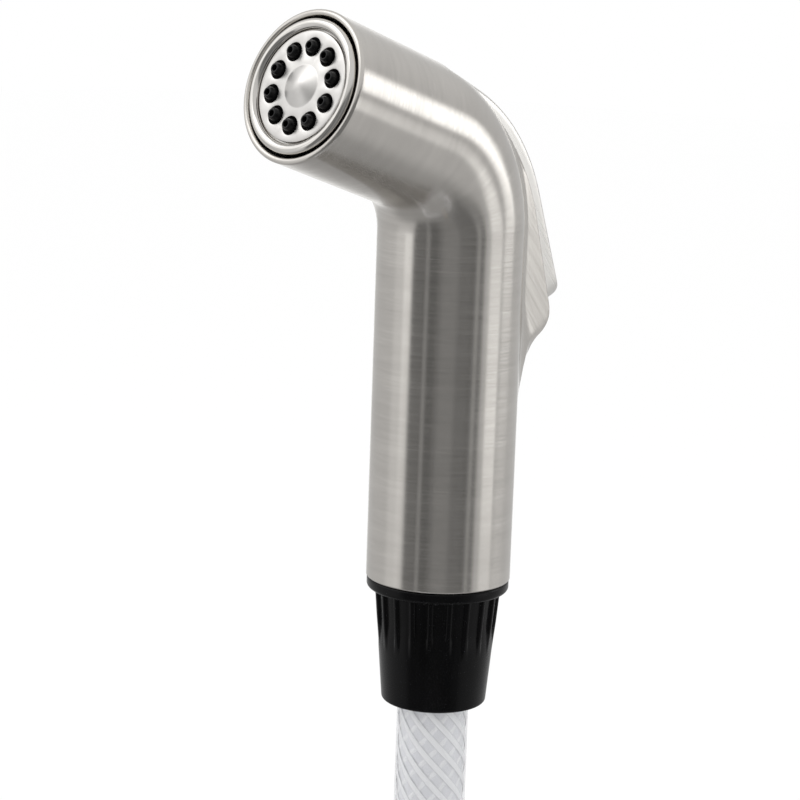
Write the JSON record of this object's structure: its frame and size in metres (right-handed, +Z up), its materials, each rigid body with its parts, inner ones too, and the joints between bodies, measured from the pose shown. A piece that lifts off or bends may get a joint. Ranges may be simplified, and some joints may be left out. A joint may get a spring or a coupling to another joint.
{
  "type": "handheld side spray",
  "caption": "Bent metal handheld side spray with a round spray face, a thumb lever on the neck, a ribbed coupling and a braided hose wound into a coil.",
  "frame": {"origin": "centre of the collar's underside, where the spray rests on its holder", "axes": "+Z up along the handle, the spray face looks towards -Y, +X across the lever's pin"},
  "size_m": [0.165, 0.1663, 0.2636],
  "materials": {
    "brushed_nickel": "brushed",
    "polished_nickel": "polished",
    "grey_plastic": "moulded",
    "black_plastic": "satin",
    "white_plastic": "moulded",
    "black_rubber": "matt",
    "red_rubber": "matt",
    "brass": "turned",
    "steel": "bright",
    "braided_hose": "clear over white braid"
  },
  "bodies": {
    "body": {"body_shell": "brushed_nickel", "waterway_body": "grey_plastic", "flange_ring": "black_plastic", "lever_pin": "steel", "valve_spring": "steel", "valve_seat": "brass", "seat_o_ring": "black_rubber", "valve_bonnet": "brass", "stem_o_ring": "black_rubber", "spray_cup": "black_plastic", "duct_o_ring": "black_rubber", "face_o_ring": "black_rubber", "nozzle_insert": "black_rubber", "face_plate": "brushed_nickel", "bezel_ring": "polished_nickel", "flow_regulator": "white_plastic", "inlet_screen": "steel", "coupling_nut": "black_plastic", "hose_washer": "red_rubber"},
    "lever": {"lever": "brushed_nickel"},
    "valve_stem": {"valve_stem": "brass", "valve_washer": "black_rubber"},
    "hose": {"snap_ring": "steel", "hose_stem": "brass", "hose_ferrule": "steel", "hose_run": "braided_hose", "hose_coil": "braided_hose", "hose_tail": "braided_hose", "supply_ferrule": "steel", "supply_stem": "brass", "supply_washer": "red_rubber"},
    "supply_nut": {"supply_nut": "brass"}
  },
  "joints": [
    {"name": "lever_press", "type": "hinge", "parent": "body", "child": "lever", "pos_m": [0, -0.00808, 0.09617], "axis": [-1, 0, 0], "range_deg": [0, 3.5], "stiffness_Nm_per_rad": 0.9, "springref_deg": -17.19},
    {"name": "stem_slide", "type": "slide", "parent": "body", "child": "valve_stem", "axis": [0, -1, 0], "range_m": [0, 0.0022], "deforming": ["valve_spring"]},
    {"name": "hose_swivel", "type": "hinge", "parent": "body", "child": "hose", "pos_m": [0, 0, -0.01], "axis": [0, 0, 1], "continuous": true},
    {"name": "supply_nut_turn", "type": "hinge", "parent": "hose", "child": "supply_nut", "pos_m": [0.135, -0.128, -0.1431], "axis": [1, 0, 0], "continuous": true}
  ],
  "couplings": [
    {"joint": "stem_slide", "follows": "lever_press", "m_per_rad": 0.03377}
  ]
}
